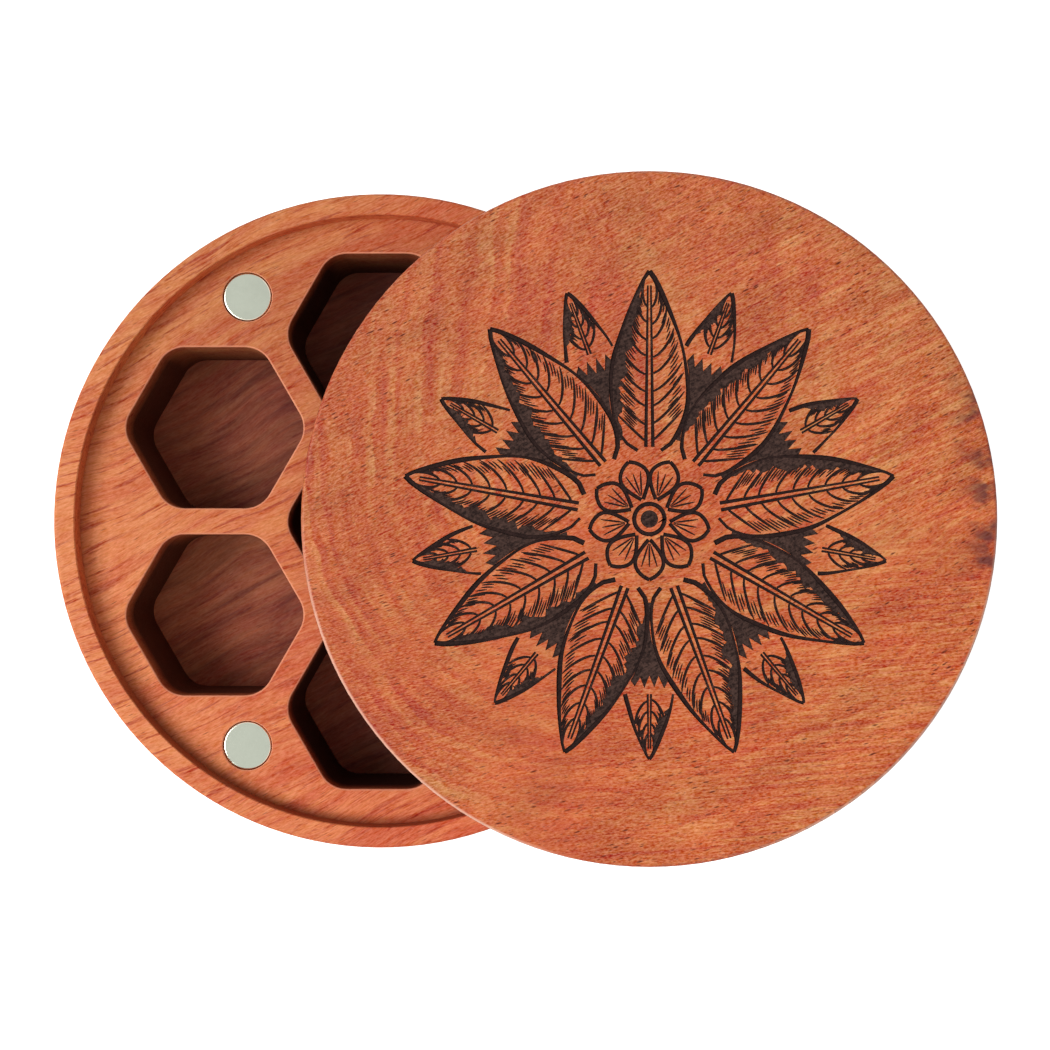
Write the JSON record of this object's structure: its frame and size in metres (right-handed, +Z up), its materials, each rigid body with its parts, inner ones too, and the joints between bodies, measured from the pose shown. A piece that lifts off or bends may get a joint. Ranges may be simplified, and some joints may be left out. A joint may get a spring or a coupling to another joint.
{
  "type": "dice storage chest",
  "caption": "Round wooden dice chest: a tray with hexagonal wells and a thick loose lid, held shut by magnets, the lid parked across the tray's rim.",
  "frame": {"origin": "centre of the tray's base, in the plane that the chest stands on", "axes": "+Z up; +X from the tray towards the parked lid; +Y to the back of the pictured view"},
  "size_m": [0.1513, 0.108, 0.05],
  "materials": {
    "tray_wood": "satin",
    "lid_wood": "satin",
    "magnet": "satin",
    "glue": "gloss"
  },
  "bodies": {
    "tray": {"tray": "tray_wood", "tray_magnet_back_right": "magnet", "tray_glue_back_right": "glue", "tray_magnet_back_left": "magnet", "tray_glue_back_left": "glue", "tray_magnet_front_left": "magnet", "tray_glue_front_left": "glue", "tray_magnet_front_right": "magnet", "tray_glue_front_right": "glue"},
    "lid": {"lid": "lid_wood", "lid_magnet_back_right": "magnet", "lid_glue_back_right": "glue", "lid_magnet_back_left": "magnet", "lid_glue_back_left": "glue", "lid_magnet_front_left": "magnet", "lid_glue_front_left": "glue", "lid_magnet_front_right": "magnet", "lid_glue_front_right": "glue"}
  },
  "joints": [
    {"name": "lid_lift", "type": "slide", "parent": "tray", "child": "lid", "axis": [0, 0, 1], "range_m": [0, 0.06]}
  ]
}
